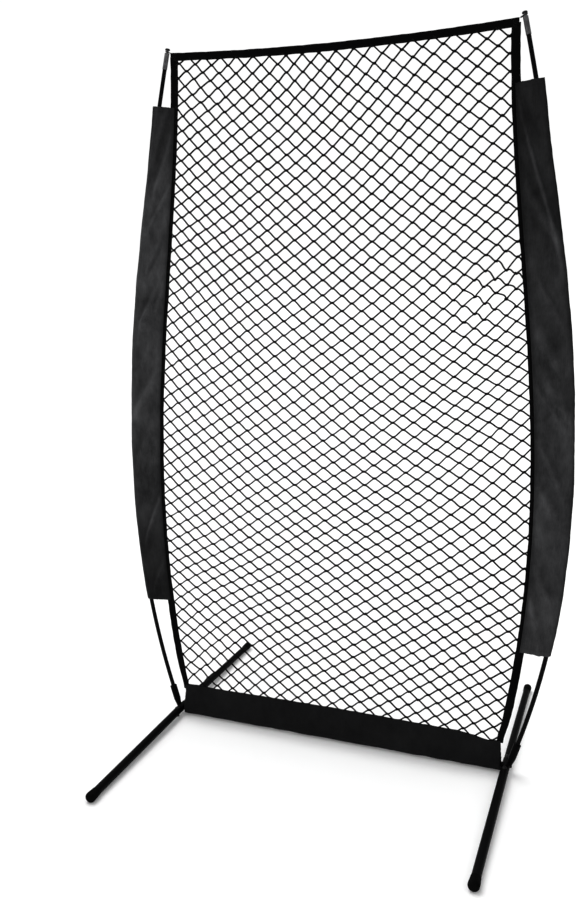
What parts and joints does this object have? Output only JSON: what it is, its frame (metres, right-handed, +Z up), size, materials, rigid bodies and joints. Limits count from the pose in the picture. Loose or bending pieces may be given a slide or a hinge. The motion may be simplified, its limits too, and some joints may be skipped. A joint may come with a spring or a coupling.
{
  "type": "pitching target net",
  "caption": "Bow-frame pitching screen: tall knotted net between two bowed sleeved poles on a low steel base with folding front and rear legs.",
  "frame": {"origin": "on the floor under the middle of the crossbar, between the front and rear feet", "axes": "+Z up, +X along the crossbar to the right seen from the front, front of the net towards -Y"},
  "size_m": [1.4048, 1.1542, 2.1503],
  "materials": {
    "frame_steel": "satin",
    "rubber": "matte",
    "fasteners": "satin",
    "nylon": "matte",
    "spring_steel": "satin",
    "fibreglass": "satin",
    "tip_metal": "satin",
    "cap_plastic": "satin",
    "ferrule_steel": "satin",
    "netting": "matte",
    "webbing": "matte",
    "cord": "matte",
    "cloth": "matte"
  },
  "bodies": {
    "base": {"corner_cord_left": "cord", "corner_cord_right": "cord", "crossbar_connector": "frame_steel", "crossbar_left": "frame_steel", "crossbar_right": "frame_steel", "hub_left": "frame_steel", "hub_right": "frame_steel", "lower_ferrule_left": "ferrule_steel", "lower_ferrule_right": "ferrule_steel", "net_panel": "netting", "pivot_bolts": "fasteners", "pivot_nuts": "fasteners", "pivot_washers": "nylon", "pole_butt_left": "ferrule_steel", "pole_butt_right": "ferrule_steel", "pole_cap_left": "cap_plastic", "pole_cap_right": "cap_plastic", "pole_lower_left": "fibreglass", "pole_lower_right": "fibreglass", "pole_middle_left": "fibreglass", "pole_middle_right": "fibreglass", "pole_tip_left": "tip_metal", "pole_tip_right": "tip_metal", "pole_upper_left": "fibreglass", "pole_upper_right": "fibreglass", "side_binding_left": "webbing", "side_binding_right": "webbing", "skirt": "cloth", "sleeve_left": "cloth", "sleeve_right": "cloth", "snap_spring_centre": "spring_steel", "snap_spring_left": "spring_steel", "snap_spring_right": "spring_steel", "top_binding": "webbing", "upper_ferrule_left": "ferrule_steel", "upper_ferrule_right": "ferrule_steel"},
    "front_leg_left": {"front_leg_left": "frame_steel", "front_foot_cap_left": "rubber"},
    "front_leg_right": {"front_leg_right": "frame_steel", "front_foot_cap_right": "rubber"},
    "rear_leg_left": {"rear_leg_left": "frame_steel", "rear_foot_cap_left": "rubber"},
    "rear_leg_right": {"rear_leg_right": "frame_steel", "rear_foot_cap_right": "rubber"},
    "snap_button_left": {"snap_button_left": "spring_steel"},
    "snap_button_centre": {"snap_button_centre": "spring_steel"},
    "snap_button_right": {"snap_button_right": "spring_steel"}
  },
  "joints": [
    {"name": "front_leg_left_fold", "type": "hinge", "parent": "base", "child": "front_leg_left", "pos_m": [-0.55, -0.036, 0.0225], "axis": [0, 0, 1], "range_deg": [0, 90]},
    {"name": "front_leg_right_fold", "type": "hinge", "parent": "base", "child": "front_leg_right", "pos_m": [0.55, -0.036, 0.0225], "axis": [0, 0, -1], "range_deg": [0, 90]},
    {"name": "rear_leg_left_fold", "type": "hinge", "parent": "base", "child": "rear_leg_left", "pos_m": [-0.55, 0.036, 0.0225], "axis": [0, 0, -1], "range_deg": [0, 90]},
    {"name": "rear_leg_right_fold", "type": "hinge", "parent": "base", "child": "rear_leg_right", "pos_m": [0.55, 0.036, 0.0225], "axis": [0, 0, 1], "range_deg": [0, 90]},
    {"name": "snap_button_left_press", "type": "hinge", "parent": "base", "child": "snap_button_left", "pos_m": [-0.476, 0, 0.0283], "axis": [0, -1, 0], "range_deg": [0, 9], "stiffness_Nm_per_rad": 0.6, "springref_deg": -14.32},
    {"name": "snap_button_centre_press", "type": "hinge", "parent": "base", "child": "snap_button_centre", "pos_m": [0.002, 0, 0.0283], "axis": [0, 1, 0], "range_deg": [0, 9], "stiffness_Nm_per_rad": 0.6, "springref_deg": -14.32},
    {"name": "snap_button_right_press", "type": "hinge", "parent": "base", "child": "snap_button_right", "pos_m": [0.476, 0, 0.0283], "axis": [0, 1, 0], "range_deg": [0, 9], "stiffness_Nm_per_rad": 0.6, "springref_deg": -14.32}
  ]
}
